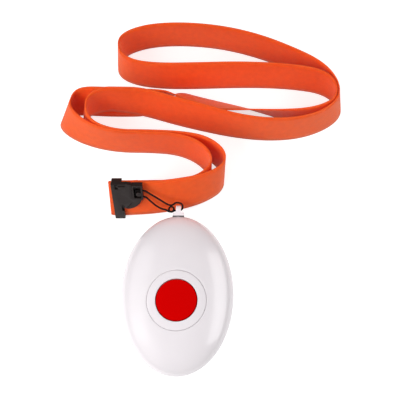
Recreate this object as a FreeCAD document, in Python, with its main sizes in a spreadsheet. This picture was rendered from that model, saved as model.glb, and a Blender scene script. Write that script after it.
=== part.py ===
import FreeCAD, Part
import math
import os

import Sketcher

# Wireless call button: an egg-shaped pendant with one big button, hung on a neck ribbon.
# Lengths are millimetres. The pendant lies on its flat back on the plane z = 0, button up,
# with its strap lug towards +Y. The ribbon stands on its edge behind the pendant.

Vector = FreeCAD.Vector
Rotation = FreeCAD.Rotation
Placement = FreeCAD.Placement

doc = FreeCAD.newDocument("CallButton")

# Driving dimensions

DIMENSIONS = [
    ("case_width", 48.0, "pendant, side to side"),
    ("case_length", 68.2, "pendant, end to end"),
    ("dome_rise", 9.0, "front shell above the parting line"),
    ("belly_depth", 10.5, "back shell's ellipsoid below the parting line, before its flat"),
    ("split_height", 7.5, "parting line above the flat back"),
    ("case_wall", 2.0, "wall of both shells"),
    ("button_offset", 4.4, "button centre below the middle of the pendant"),
    ("button_radius", 8.42, "red button"),
    ("button_top", 8.55, "button's flat top above the parting line"),
    ("button_travel", 0.7, "stroke of the button"),
    ("button_gap", 0.3, "gap round and behind the button"),
    ("button_skin", 1.5, "thickness of the button's face"),
    ("button_edge", 0.35, "chamfer at the rim of the button's face"),
    ("button_wall", 1.2, "wall of the button's cup"),
    ("flange_radius", 9.9, "retaining flange of the button"),
    ("flange_thick", 0.7, "thickness of that flange"),
    ("stem_radius", 1.75, "centre stem of the button and the switch's plunger"),
    ("ring_radius", 12.25, "trim ring, outside"),
    ("ring_step", 0.15, "trim ring's face above the dome"),
    ("ring_play", 0.1, "gap round the trim ring in its recess"),
    ("ring_seat", 6.7, "seat of the trim ring above the parting line"),
    ("ring_ledge", 1.6, "thickness of the ledge that carries the trim ring"),
    ("skirt_radius", 10.4, "skirt of the trim ring"),
    ("skirt_drop", 2.6, "reach of that skirt below the seat"),
    ("ring_seal_thick", 0.3, "flat rubber seal under the trim ring"),
    ("floor_thick", 2.0, "floor of the back shell"),
    ("rib_rise", 0.5, "rib that carries the battery strap"),
    ("strap_thick", 0.3, "battery strap of sprung steel"),
    ("strap_width", 4.6, "battery strap across"),
    ("cell_radius", 10.0, "coin cell"),
    ("cell_thick", 3.2, "coin cell's thickness"),
    ("contact_thick", 0.2, "contact plate above the cell"),
    ("holder_play", 0.8, "coin cell to the holder's wall"),
    ("holder_wall", 1.2, "wall of the battery holder"),
    ("board_thick", 1.0, "circuit board"),
    ("board_half_x", 19.0, "half width of the board"),
    ("board_half_y", 29.0, "half length of the board"),
    ("switch_side", 6.0, "tactile switch, square"),
    ("switch_tall", 3.1, "height of the switch's body"),
    ("plunger_proud", 1.3, "plunger above the switch's body"),
    ("plunger_length", 2.2, "plunger"),
    ("plunger_fit", 0.1, "running fit of the plunger in its bore"),
    ("screw_x", 12.5, "case screws, from the middle line"),
    ("screw_y", 21.0, "case screws, from the middle of the pendant"),
    ("screw_radius", 0.9, "case screw's thread"),
    ("screw_reach", 3.4, "case screw above the parting line"),
    ("head_radius", 1.9, "case screw's head"),
    ("head_tall", 1.4, "height of that head"),
    ("head_seat", 3.2, "seat of that head above the flat back"),
    ("boss_radius", 2.9, "screw boss"),
    ("post_radius", 2.2, "post that carries the board"),
    ("post_front", 18.0, "upper board post, from the middle of the pendant"),
    ("post_back", 26.0, "lower board post, from the middle of the pendant"),
    ("board_screw_radius", 0.8, "board screw's thread"),
    ("board_screw_head", 1.6, "board screw's head"),
    ("rim_land", 0.6, "land on each side of the case gasket"),
    ("gasket_deep", 0.9, "depth of the case gasket"),
    ("lug_stem_radius", 1.5, "stem of the strap lug"),
    ("lug_flange_width", 5.2, "flange of the strap lug, side to side"),
    ("lug_flange_tall", 3.4, "flange of the strap lug, front to back"),
    ("lug_flange_thick", 1.6, "flange of the strap lug, along the pendant"),
    ("lug_seat_depth", 0.4, "flat that is cut on the end of the case for the lug"),
    ("lug_seal_thick", 0.5, "rubber seal under the lug's flange"),
    ("eye_reach", 1.4, "flange to the eye's centre"),
    ("eye_radius", 2.2, "eye of the lug, outside"),
    ("eye_hole", 1.1, "radius of the eye's hole"),
    ("eye_thick", 2.2, "thickness of the eye"),
    ("string_radius", 0.4, "thin round string between lug and buckle"),
    ("ribbon_thick", 0.6, "satin neck ribbon"),
    ("ribbon_tall", 19.0, "standing height of the ribbon, whose width is 20"),
    ("buckle_lean", 26.0, "lean of the buckle and the ribbon's end, in degrees"),
    ("buckle_back", 37.15, "buckle's lower line, from the middle of the pendant"),
    ("buckle_lift", 1.5, "ribbon's lower edge above the table, at the buckle"),
    ("frame_left", 29.1, "buckle frame's far side, left of the middle line"),
    ("frame_width", 4.5, "buckle frame along the ribbon"),
    ("frame_tall", 21.6, "buckle frame across the ribbon"),
    ("frame_below", 0.6, "buckle frame past the ribbon's lower edge"),
    ("frame_wall", 0.7, "wall of the buckle frame"),
    ("frame_deep", 2.1, "buckle frame's faces, from its middle plane"),
    ("slot_front", 0.3, "front of the ribbon slot, from the middle plane"),
    ("slot_back", 1.4, "back of the ribbon slot, from the middle plane"),
    ("shield_radius", 7.6, "round end of the buckle's body"),
    ("shield_x", 23.6, "centre of that round end, left of the middle line"),
    ("shield_rise", 13.4, "centre of that round end above the ribbon's edge"),
    ("head_left", 20.1, "buckle insert's block, left side from the middle line"),
    ("head_right", 15.4, "buckle insert's block, right side from the middle line"),
    ("head_low", 12.3, "buckle insert's block, lower side"),
    ("head_high", 20.6, "buckle insert's block, upper side"),
    ("head_deep", 2.5, "buckle insert's block, front to back"),
    ("insert_gap", 0.2, "gap between the buckle's two halves"),
    ("head_wall", 0.8, "wall round the insert's pocket"),
    ("head_floor", 0.9, "floor of the insert's pocket"),
    ("string_high", 17.0, "upper string hole of the insert, above the ribbon's edge"),
    ("string_low", 13.6, "lower string hole of the insert, above the ribbon's edge"),
    ("post_middle", 17.2, "post in the insert's pocket that holds the string, left of the middle line"),
    ("ridge_wide", 1.1, "ridge of the buckle's body beside the insert"),
    ("ridge_rise", 0.3, "height of that ridge"),
    ("prong_long", 7.4, "prong of the insert"),
    ("prong_wide", 2.0, "prong across"),
    ("prong_thick", 0.7, "thickness of a prong"),
]

sheet = doc.addObject("Spreadsheet::Sheet", "Sizes")
for row, (alias, value, note) in enumerate(DIMENSIONS, start=1):
    sheet.set("A%d" % row, note)
    sheet.set("B%d" % row, str(value))
    sheet.setAlias("B%d" % row, alias)
doc.recompute()


class Size:
    """A length that knows its number and the formula that drives it."""

    def __init__(self, value, formula):
        self.value = value
        self.formula = formula

    def __add__(self, other):
        return Size(self.value + number(other), "(%s + %s)" % (self.formula, formula(other)))

    def __radd__(self, other):
        return Size(number(other) + self.value, "(%s + %s)" % (formula(other), self.formula))

    def __sub__(self, other):
        return Size(self.value - number(other), "(%s - %s)" % (self.formula, formula(other)))

    def __rsub__(self, other):
        return Size(number(other) - self.value, "(%s - %s)" % (formula(other), self.formula))

    def __mul__(self, other):
        return Size(self.value * number(other), "(%s * %s)" % (self.formula, formula(other)))

    def __rmul__(self, other):
        return self * other

    def __truediv__(self, other):
        return Size(self.value / number(other), "(%s / %s)" % (self.formula, formula(other)))

    def __neg__(self):
        return Size(-self.value, "(-1 * %s)" % self.formula)


def number(size):
    return size.value if isinstance(size, Size) else float(size)


def formula(size):
    return size.formula if isinstance(size, Size) else repr(float(size))


class Sheet:
    """The driving dimensions by name."""


s = Sheet()
for alias, value, note in DIMENSIONS:
    setattr(s, alias, Size(float(sheet.get(alias)), "Sizes.%s" % alias))

# Levels and places worked out from the driving dimensions

half_x = s.case_width / 2
half_y = s.case_length / 2
split = s.split_height
strap_low = s.floor_thick + s.rib_rise
cell_low = strap_low + s.strap_thick
cell_high = cell_low + s.cell_thick
board_low = cell_high + s.contact_thick
board_high = board_low + s.board_thick
switch_high = board_high + s.switch_tall
stem_low = switch_high + s.plunger_proud
plunger_low = stem_low - s.plunger_length
button_y = -s.button_offset
seat_high = split + s.ring_seat
ledge_low = seat_high - s.ring_ledge
skirt_low = seat_high - s.skirt_drop
flange_high = skirt_low - s.button_gap
flange_low = flange_high - s.flange_thick
face_high = split + s.button_top
ring_bore = s.button_radius + s.button_gap
button_hollow = s.button_radius - s.button_wall
strap_half = s.cell_radius + 0.15 + s.strap_thick
holder_inner = s.cell_radius + s.holder_play
lug_seat = half_y - s.lug_seat_depth
lug_flange_low = lug_seat + s.lug_seal_thick
lug_flange_high = lug_flange_low + s.lug_flange_thick
eye_y = lug_flange_high + s.eye_reach
string_front = s.slot_front + 1.5

pieces = []


# Small helpers for document objects

def bind(obj, **sizes):
    """Sets each named property and ties it to its formula."""
    for name, size in sizes.items():
        setattr(obj, name, number(size))
        if isinstance(size, Size):
            obj.setExpression(name, size.formula)
    return obj


def put(obj, x=0, y=0, z=0, rotation=None):
    """Places an object, with its position tied to the sheet."""
    obj.Placement = Placement(Vector(number(x), number(y), number(z)), rotation or Rotation())
    for axis, size in (("x", x), ("y", y), ("z", z)):
        if isinstance(size, Size):
            obj.setExpression("Placement.Base.%s" % axis, size.formula)
    return obj


ALONG = {
    "X": Rotation(Vector(0, 1, 0), 90),
    "Y": Rotation(Vector(1, 0, 0), -90),
    "Z": Rotation(),
}


def cylinder(name, radius, height, x=0, y=0, z=0, along="Z"):
    obj = bind(doc.addObject("Part::Cylinder", name), Radius=radius, Height=height)
    return put(obj, x, y, z, ALONG[along])


def box(name, width, depth, tall, x=0, y=0, z=0):
    """A box centred on x and y, standing on z."""
    obj = bind(doc.addObject("Part::Box", name), Length=width, Width=depth, Height=tall)
    return put(obj, x - width / 2, y - depth / 2, z)


def corner_box(name, west, east, south, north, low, high):
    """A box between six planes."""
    obj = doc.addObject("Part::Box", name)
    bind(obj, Length=east - west, Width=north - south, Height=high - low)
    return put(obj, west, south, low)


def dome(name, rise, across, along, upper=True):
    """Half an ellipsoid above or below the parting line."""
    obj = doc.addObject("Part::Ellipsoid", name)
    obj.Angle1 = 0 if upper else -90
    obj.Angle2 = 90 if upper else 0
    bind(obj, Radius1=rise, Radius2=across, Radius3=along)
    return put(obj, z=split)


def oval(name, across, along, tall, z):
    """An elliptical plate."""
    edge = bind(doc.addObject("Part::Ellipse", name + "Outline"), MajorRadius=along, MinorRadius=across)
    edge.Placement = Placement(Vector(), Rotation(Vector(0, 0, 1), 90))
    plate = doc.addObject("Part::Extrusion", name)
    plate.Base = edge
    plate.DirMode = "Custom"
    plate.Dir = Vector(0, 0, 1)
    plate.Solid = True
    bind(plate, LengthFwd=tall)
    return put(plate, z=z)


def fuse(name, *shapes):
    obj = doc.addObject("Part::MultiFuse", name)
    obj.Shapes = list(shapes)
    return obj


def cut(name, base, *tools):
    obj = doc.addObject("Part::Cut", name)
    obj.Base = base
    obj.Tool = tools[0] if len(tools) == 1 else fuse(name + "Tools", *tools)
    return obj


def common(name, first, second):
    obj = doc.addObject("Part::Common", name)
    obj.Base = first
    obj.Tool = second
    return obj


def group(name, *shapes):
    obj = doc.addObject("Part::Compound", name)
    obj.Links = list(shapes)
    return obj


def ring(name, outer, inner, tall, x=0, y=0, z=0):
    blank = cylinder(name + "Blank", outer, tall, x, y, z)
    bore = cylinder(name + "Bore", inner, tall, x, y, z)
    return cut(name, blank, bore)


def origin_plane(body, role):
    for feature in body.Origin.OriginFeatures:
        if feature.Role == role:
            return feature


def draw(body, role, corners):
    """A closed outline on one of the body's own planes, each corner tied to the sheet."""
    sketch = body.newObject("Sketcher::SketchObject", body.Name + "Outline")
    sketch.AttachmentSupport = (origin_plane(body, role), [""])
    sketch.MapMode = "FlatFace"
    points = [Vector(number(u), number(v), 0) for u, v in corners]
    count = len(points)
    for i in range(count):
        sketch.addGeometry(Part.LineSegment(points[i], points[(i + 1) % count]), False)
    for i in range(count):
        sketch.addConstraint(Sketcher.Constraint("Coincident", i, 2, (i + 1) % count, 1))
    for i, (u, v) in enumerate(corners):
        for kind, size in (("DistanceX", u), ("DistanceY", v)):
            index = sketch.addConstraint(Sketcher.Constraint(kind, -1, 1, i, 1, number(size)))
            if isinstance(size, Size):
                sketch.setExpression("Constraints[%d]" % index, size.formula)
    return sketch


def turned(name, corners):
    """A body turned about the vertical axis from pairs of radius and height."""
    body = doc.addObject("PartDesign::Body", name)
    sketch = draw(body, "XZ_Plane", corners)
    turn = body.newObject("PartDesign::Revolution", name + "Turn")
    turn.Profile = sketch
    turn.ReferenceAxis = (sketch, ["V_Axis"])
    turn.Angle = 360
    return body


def padded(name, role, corners, length, middle=False):
    """A body padded from a closed outline."""
    body = doc.addObject("PartDesign::Body", name)
    sketch = draw(body, role, corners)
    pad = body.newObject("PartDesign::Pad", name + "Pad")
    pad.Profile = sketch
    pad.Midplane = middle
    bind(pad, Length=length)
    return body


def piece(label, obj):
    """Names a finished piece, whose label is also its file's name."""
    obj.Label = label
    pieces.append(obj)
    return obj


def screw_places():
    """Numbered places of the four case screws."""
    places = []
    for east in (-1, 1):
        for north in (-1, 1):
            places.append((len(places), s.screw_x * east, s.screw_y * north))
    return places


def post_places():
    """Numbered places of the two posts that carry the board."""
    return [(0, s.post_front), (1, -s.post_back)]


# Case

def lug_cutters(name):
    """Half-round way for the lug's stem and the flat under its flange."""
    way = cylinder(name + "StemWay", s.lug_stem_radius + 0.1, s.case_wall + 3,
                   0, half_y - s.case_wall - 2, split, "Y")
    flat = corner_box(name + "LugFlat", -s.lug_flange_width, s.lug_flange_width,
                      lug_seat, lug_seat + 3, split - 6, split + 6)
    return [way, flat]


def front_shell():
    outer = dome("FrontOuter", s.dome_rise, half_x, half_y)
    inner = dome("FrontInner", s.dome_rise - s.case_wall, half_x - s.case_wall, half_y - s.case_wall)
    kept = [cylinder("RingBoss", s.ring_radius + 1.3, s.dome_rise, 0, button_y, ledge_low)]
    for i, x, y in screw_places():
        kept.append(cylinder("FrontBoss%d" % i, s.boss_radius - 0.3, s.dome_rise, x, y, split - 0.5))
    hollow = cut("FrontHollow", inner, *kept)
    tools = [
        hollow,
        cylinder("RingRecess", s.ring_radius + s.ring_play, s.dome_rise, 0, button_y, seat_high),
        cylinder("SkirtHole", s.skirt_radius + 0.2, s.dome_rise, 0, button_y, ledge_low - 0.5),
    ]
    for i, x, y in screw_places():
        tools.append(cylinder("FrontPilot%d" % i, s.screw_radius + 0.05, s.screw_reach + 0.8, x, y, split - 0.5))
    tools += lug_cutters("Front")
    return piece("front_shell", cut("FrontShell", outer, *tools))


def gasket_ring(name, gap, tall, z):
    """The oval ring between the two lands of the rim."""
    outer = half_x - s.rim_land + gap
    outer_y = half_y - s.rim_land + gap
    inner = half_x - s.case_wall + s.rim_land - gap
    inner_y = half_y - s.case_wall + s.rim_land - gap
    return cut(name, oval(name + "Outer", outer, outer_y, tall, z), oval(name + "Inner", inner, inner_y, tall, z))


def back_shell():
    outer = dome("BackOuter", s.belly_depth, half_x, half_y, upper=False)
    inner = dome("BackInner", s.belly_depth - s.case_wall, half_x - s.case_wall, half_y - s.case_wall, upper=False)
    kept = [
        corner_box("FloorBlock", -half_x, half_x, -half_y, half_y, -s.belly_depth, s.floor_thick),
        ring("CellRib", s.cell_radius - 0.6, s.cell_radius - 2, strap_low, 0, button_y, 0),
    ]
    for i, x, y in screw_places():
        kept.append(cylinder("BackBoss%d" % i, s.boss_radius, s.split_height + 1, x, y, 0))
    for i, y in post_places():
        kept.append(cylinder("BoardPost%d" % i, s.post_radius, board_low, 0, y, 0))
    hollow = cut("BackHollow", inner, *kept)
    tools = [
        hollow,
        corner_box("BackFlat", -half_x, half_x, -half_y, half_y, -s.belly_depth, Size(0.0, "0.0")),
        gasket_ring("GasketGroove", 0.05, s.gasket_deep + 1, split - s.gasket_deep),
    ]
    for i, x, y in screw_places():
        tools.append(cylinder("HeadWell%d" % i, s.head_radius + 0.2, s.head_seat + 1, x, y, Size(-1.0, "-1.0")))
        tools.append(cylinder("ScrewWay%d" % i, s.screw_radius + 0.3, s.split_height, x, y, 1))
    for i, y in post_places():
        tools.append(cylinder("PostPilot%d" % i, s.board_screw_radius + 0.05, s.board_thick + 2.6,
                              0, y, board_low - 2.5))
    tools += lug_cutters("Back")
    return piece("back_shell", cut("BackShell", outer, *tools))


def shell_gasket():
    blank = gasket_ring("GasketBlank", 0, s.gasket_deep, split - s.gasket_deep)
    way = cylinder("GasketWay", s.lug_stem_radius + 0.1, s.case_wall + 3, 0, half_y - s.case_wall - 2, split, "Y")
    return piece("shell_gasket", cut("ShellGasket", blank, way))


def case_screws():
    screws = []
    for i, x, y in screw_places():
        shaft_tall = split + s.screw_reach - s.head_seat
        screw = turned("CaseScrew%d" % i, [
            (0, 0.7), (0.45, 0.0), (s.head_radius, 0.0), (s.head_radius, s.head_tall),
            (s.screw_radius, s.head_tall), (s.screw_radius, s.head_tall + shaft_tall - 0.6),
            (s.screw_radius / 3, s.head_tall + shaft_tall), (0, s.head_tall + shaft_tall),
        ])
        screws.append(put(screw, x, y, s.head_seat - s.head_tall))
    return piece("case_screws", group("CaseScrews", *screws))


# Button

def trim_ring():
    flange_seat = seat_high + s.ring_seal_thick
    blank = turned("TrimRingBlank", [
        (ring_bore, skirt_low), (s.skirt_radius, skirt_low), (s.skirt_radius, flange_seat),
        (s.ring_radius, flange_seat), (s.ring_radius, split + s.dome_rise + 1),
        (ring_bore, split + s.dome_rise + 1),
    ])
    put(blank, y=button_y)
    form = dome("TrimRingForm", s.dome_rise + s.ring_step, half_x + s.ring_step, half_y + s.ring_step)
    return piece("trim_ring", common("TrimRing", blank, form))


def ring_seal():
    return piece("ring_seal", ring("RingSeal", s.ring_radius - 0.15, s.skirt_radius + 0.3,
                                   s.ring_seal_thick, 0, button_y, seat_high))


def red_button():
    roof = face_high - s.button_skin
    button = turned("RedButton", [
        (0, face_high), (s.button_radius - s.button_edge, face_high),
        (s.button_radius, face_high - s.button_edge), (s.button_radius, flange_high),
        (s.flange_radius, flange_high), (s.flange_radius, flange_low), (button_hollow, flange_low),
        (button_hollow, roof), (s.stem_radius, roof), (s.stem_radius, stem_low), (0, stem_low),
    ])
    return piece("red_button", put(button, y=button_y))


def switch_plunger():
    plunger = turned("SwitchPlunger", [
        (0, plunger_low), (s.stem_radius - 0.3, plunger_low), (s.stem_radius, plunger_low + 0.3),
        (s.stem_radius, stem_low), (0, stem_low),
    ])
    return piece("switch_plunger", put(plunger, y=button_y))


# Electronics

def tact_switch_body():
    blank = box("SwitchBlank", s.switch_side, s.switch_side, s.switch_tall, 0, button_y, board_high)
    legs = []
    for i, (east, north) in enumerate(((-1, -1), (-1, 1), (1, -1), (1, 1))):
        legs.append(box("SwitchLeg%d" % i, 1.6, 0.7, 0.3,
                        s.switch_side / 2 * east, button_y + s.switch_side * 0.375 * north, board_high))
    bore_low = plunger_low - s.button_travel - 0.4
    bore = cylinder("SwitchBore", s.stem_radius + s.plunger_fit, s.switch_tall, 0, button_y, bore_low)
    return piece("tact_switch_body", cut("TactSwitchBody", fuse("SwitchForm", blank, *legs), bore))


def circuit_board():
    blank = oval("BoardBlank", s.board_half_x, s.board_half_y, s.board_thick, board_low)
    tools = []
    for i, x, y in screw_places():
        tools.append(cylinder("BoardNotch%d" % i, s.boss_radius + 0.3, s.board_thick, x, y, board_low))
    for i, y in post_places():
        tools.append(cylinder("BoardHole%d" % i, s.board_screw_radius + 0.15, s.board_thick, 0, y, board_low))
    return piece("circuit_board", cut("CircuitBoard", blank, *tools))


def board_screws():
    screws = []
    for i, y in post_places():
        screw = turned("BoardScrew%d" % i, [
            (0, -3.0), (s.board_screw_radius, -3.0), (s.board_screw_radius, 0.0), (s.board_screw_head, 0.0),
            (s.board_screw_head, 0.7), (s.board_screw_head - 0.4, 1.0), (0.4, 1.0), (0, 0.5),
        ])
        screws.append(put(screw, 0, y, board_high))
    return piece("board_screws", group("BoardScrews", *screws))


def radio_chip():
    return piece("radio_chip", box("RadioChip", 5.0, 5.0, 0.9, Size(-7.0, "-7.0"), 11.5, board_high))


def crystal_can():
    body = box("CrystalBody", 3.2, 5.6, 1.1, 6.0, 12.0, board_high)
    cap = box("CrystalCap", 2.6, 5.0, 0.4, 6.0, 12.0, board_high + 1.1)
    return piece("crystal_can", fuse("CrystalCan", body, cap))


def chip_passives():
    """Two rows of small chip parts beside the switch."""
    chips = []
    for i in range(4):
        for side in (-1, 1):
            chips.append(box("Chip%d%s" % (i, "E" if side > 0 else "W"), 1.6, 0.8, 0.6,
                             side * 13.6, -12.0 + 3.2 * i, board_high))
    return piece("chip_passives", group("ChipPassives", *chips))


def wire_antenna():
    """A wire arch that stands on two legs along the upper edge of the board."""
    wire = 0.4
    reach = 14.0
    start = 35.0
    centre_y = 7.5
    level = board_high + 1.4
    arch = doc.addObject("Part::Torus", "AntennaArch")
    arch.Radius1 = reach
    arch.Radius2 = wire
    arch.Angle3 = 180 - 2 * start
    put(arch, 0, centre_y, level, Rotation(Vector(0, 0, 1), start))
    solids = [arch]
    for side in (-1, 1):
        x = side * reach * math.cos(math.radians(start))
        y = centre_y + reach * math.sin(math.radians(start))
        solids.append(cylinder("AntennaLeg%s" % ("E" if side > 0 else "W"), wire, 1.4, x, y, board_high))
        knee = doc.addObject("Part::Sphere", "AntennaKnee%s" % ("E" if side > 0 else "W"))
        knee.Radius = wire
        solids.append(put(knee, x, y, level))
    return piece("wire_antenna", fuse("WireAntenna", *solids))


def battery_holder():
    return piece("battery_holder", ring("BatteryHolder", holder_inner + s.holder_wall, holder_inner,
                                        board_low - cell_low, 0, button_y, cell_low))


def coin_cell():
    can = s.cell_radius
    cell = turned("CoinCell", [
        (0, cell_low), (can - 0.3, cell_low), (can, cell_low + 0.3), (can, cell_high - 0.7),
        (can - 0.4, cell_high - 0.4), (can - 1.6, cell_high - 0.4), (can - 1.6, cell_high), (0, cell_high),
    ])
    return piece("coin_cell", put(cell, y=button_y))


def contact_positive():
    """Sprung strap under the cell, turned up at both ends to the board."""
    outer = strap_half
    inner = strap_half - s.strap_thick
    strap = padded("ContactPositive", "XZ_Plane", [
        (-outer, strap_low), (outer, strap_low), (outer, board_low), (inner, board_low),
        (inner, cell_low), (-inner, cell_low), (-inner, board_low), (-outer, board_low),
    ], s.strap_width, middle=True)
    return piece("contact_positive", put(strap, y=button_y))


def contact_negative():
    return piece("contact_negative", box("ContactNegative", 9.0, 3.4, s.contact_thick, 0, button_y, cell_high))


# Strap lug

def strap_lug():
    flange = corner_box("LugFlange", -s.lug_flange_width / 2, s.lug_flange_width / 2,
                        lug_flange_low, lug_flange_high, split - s.lug_flange_tall / 2,
                        split + s.lug_flange_tall / 2)
    head_low = half_y - s.case_wall - 2.1
    stem = cylinder("LugStem", s.lug_stem_radius, lug_flange_low - head_low, 0, head_low, split, "Y")
    head = corner_box("LugHead", Size(-3.0, "-3.0"), 3.0, head_low, head_low + 1, split - 1.2, split + 1.2)
    neck = corner_box("LugNeck", -s.eye_thick / 2, s.eye_thick / 2, lug_flange_high, eye_y,
                      split - s.eye_radius, split + s.eye_radius)
    eye = cylinder("LugEye", s.eye_radius, s.eye_thick, -s.eye_thick / 2, eye_y, split, "X")
    hole = cylinder("LugEyeHole", s.eye_hole, s.eye_thick, -s.eye_thick / 2, eye_y, split, "X")
    return piece("strap_lug", cut("StrapLug", fuse("LugForm", flange, stem, head, neck, eye), hole))


def lug_seal():
    blank = corner_box("SealBlank", -s.lug_flange_width / 2, s.lug_flange_width / 2,
                       lug_seat, lug_flange_low, split - s.lug_flange_tall / 2, split + s.lug_flange_tall / 2)
    way = cylinder("SealWay", s.lug_stem_radius + 0.05, s.lug_seal_thick, 0, lug_seat, split, "Y")
    return piece("lug_seal", cut("LugSeal", blank, way))


# Buckle, drawn flat: x along the ribbon, y across it from its lower edge, z towards the viewer

def lay_buckle(obj):
    """Leans a flat-drawn buckle piece back against the ribbon."""
    put(obj, 0, s.buckle_back, s.buckle_lift, Rotation(Vector(1, 0, 0), 90 - s.buckle_lean.value))
    obj.setExpression("Placement.Rotation.Angle", "90 - Sizes.buckle_lean")
    return obj


def prong_low():
    """Lower side of each of the insert's two prongs, above the ribbon's edge."""
    return [s.head_low + 0.8, s.head_high - s.prong_wide - 1.0]


def buckle_body():
    left = -s.frame_left
    frame_right = left + s.frame_width
    low = -s.frame_below
    high = low + s.frame_tall
    face = s.frame_deep
    frame = corner_box("FrameBlock", left, frame_right, low, high, -face, face)
    slot = corner_box("RibbonSlot", left - 1, frame_right + 1, low + s.frame_wall, high - s.frame_wall,
                      -s.slot_back, s.slot_front)
    shield = cylinder("ShieldRound", s.shield_radius, face - s.slot_front,
                      -s.shield_x, s.shield_rise, s.slot_front)
    plate = corner_box("ShieldPlate", left, -s.shield_x, s.shield_rise - s.shield_radius,
                       s.shield_rise + s.shield_radius, s.slot_front, face)
    tools = [slot, corner_box("InsertNotch", -s.head_left - s.insert_gap, -s.shield_x + s.shield_radius + 1,
                              s.head_low - s.insert_gap, s.head_high + 2, -face, face + 1)]
    middle = (s.slot_front + face) / 2
    for i, prong in enumerate(prong_low()):
        tools.append(corner_box("ProngWay%d" % i, -s.head_left - s.prong_long - 0.4, -s.head_left + 1,
                                prong - s.insert_gap, prong + s.prong_wide + s.insert_gap,
                                middle - s.prong_thick / 2 - 0.1, middle + s.prong_thick / 2 + 0.1))
    upper_low = s.shield_rise + s.shield_radius - 3.2
    tools.append(corner_box("UpperRecess", left + 1.6, left + 6.2, upper_low + 1.4, upper_low + 2.6,
                            face - 0.35, face + 1))
    tools.append(corner_box("UpperPit", left + 1.6, left + 3.0, upper_low, upper_low + 2.6,
                            face - 0.9, face + 1))
    recess_low = s.shield_rise - s.shield_radius
    slant = padded("LowerRecess", "XY_Plane", [
        (frame_right - 0.4, recess_low + 0.2), (frame_right + 1.0, recess_low - 0.6),
        (frame_right + 4.2, recess_low + 4.0), (frame_right + 3.2, recess_low + 4.8),
    ], 2.0)
    tools.append(put(slant, z=face - 0.35))
    tools.append(corner_box("LowerPit", frame_right - 0.9, frame_right + 0.6, recess_low - 1.2,
                            recess_low + 2.4, face - 0.9, face + 1))
    ridge_right = -s.head_left - s.insert_gap
    ridge = corner_box("ShieldRidge", ridge_right - s.ridge_wide, ridge_right, s.head_low, s.head_high,
                       s.slot_front, face + s.ridge_rise)
    # The shield's round edge ends flush with the frame's left side
    tools.append(corner_box("ShieldTrim", left - s.shield_radius, left, low - 1, high + 1, -face - 1, face + 1))
    body = cut("BuckleBody", fuse("BuckleForm", frame, shield, plate, ridge), *tools)
    return piece("buckle_body", lay_buckle(body))


def buckle_insert():
    back = s.slot_front + 0.1
    front = back + s.head_deep
    block = corner_box("HeadBlock", -s.head_left, -s.head_right, s.head_low, s.head_high, back, front)
    pocket_floor = back + s.head_floor
    pocket = corner_box("HeadPocket", -s.head_left + s.head_wall, -s.head_right - s.head_wall,
                        s.head_low + s.head_wall, s.head_high - s.head_wall, pocket_floor, front + 1)
    post = cylinder("HeadPost", s.string_radius * 3, front - 0.2 - pocket_floor + 0.1, -s.post_middle,
                    (s.string_low + s.string_high) / 2, pocket_floor - 0.1)
    holes = []
    for i, across in enumerate((s.string_low, s.string_high)):
        holes.append(cylinder("StringHole%d" % i, s.string_radius + 0.1, 3, -s.head_right - 1.5,
                              across, string_front, "X"))
    solids = [cut("HeadShell", block, pocket, *holes), post]
    middle = (s.slot_front + s.frame_deep) / 2
    for i, prong in enumerate(prong_low()):
        solids.append(corner_box("Prong%d" % i, -s.head_left - s.prong_long, -s.head_left + 0.5,
                                 prong, prong + s.prong_wide,
                                 middle - s.prong_thick / 2, middle + s.prong_thick / 2))
    return piece("buckle_insert", lay_buckle(fuse("BuckleInsert", *solids)))


# Paths of straight runs joined by tangent arcs

def tangent_corners(points):
    """For each inner point of a route: where its arc starts, its middle, its end and its radius."""
    corners = []
    for before, point, after in zip(points, points[1:], points[2:]):
        arriving = (point - before).normalize()
        leaving = (after - point).normalize()
        shorter = min((point - before).Length, (after - point).Length)
        half_turn = arriving.getAngle(leaving) / 2
        reach = 0.45 * shorter
        radius = reach / math.tan(half_turn)
        inward = (leaving - arriving).normalize()
        centre = point + inward * (radius / math.cos(half_turn))
        corners.append((point - arriving * reach, centre - inward * radius, point + leaving * reach, radius))
    return corners


def path_edges(start, corners, end):
    edges = []
    at = start
    for first, middle, last, radius in corners:
        edges.append(Part.LineSegment(at, first).toShape())
        edges.append(Part.Arc(first, middle, last).toShape())
        at = last
    edges.append(Part.LineSegment(at, end).toShape())
    return edges


def buckle_point(x, across, front):
    """A point of the leaning buckle in the part's own frame."""
    lean = math.radians(s.buckle_lean.value)
    return Vector(x,
                  s.buckle_back.value + across * math.sin(lean) - front * math.cos(lean),
                  s.buckle_lift.value + across * math.cos(lean) + front * math.sin(lean))


def string():
    """One thin string: round the post in the buckle's insert, over the lug's eye, through its hole and back."""
    right = -s.head_right.value
    front = string_front.value
    tip = eye_y.value + s.eye_radius.value
    level = split.value
    eye = eye_y.value
    side = s.eye_thick.value / 2
    round_post = -s.post_middle.value - s.string_radius.value * 4 - 0.1
    points = [
        buckle_point(round_post, s.string_low.value + 0.7, front),
        buckle_point(round_post, s.string_high.value, front),
        buckle_point(right + 0.9, s.string_high.value, front),
        Vector(-11.0, 41.8, 15.1),
        Vector(-3.6, tip + 0.2, level + 2.0),
        Vector(-1.4, tip + 0.5, level + 1.5),
        Vector(side + 0.9, tip + 0.4, level + 1.1),
        Vector(side + 0.75, eye, level),
        Vector(-side - 0.9, eye, level),
        Vector(-4.6, 37.4, 7.0),
        Vector(-7.4, 38.1, 7.1),
        Vector(-10.4, 39.2, 8.7),
        Vector(-12.8, 40.5, 11.3),
        buckle_point(right + 0.9, s.string_low.value, front),
        buckle_point(right - 2.0, s.string_low.value, front),
    ]
    return piece("string", tube("String", points, s.string_radius.value))


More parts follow.
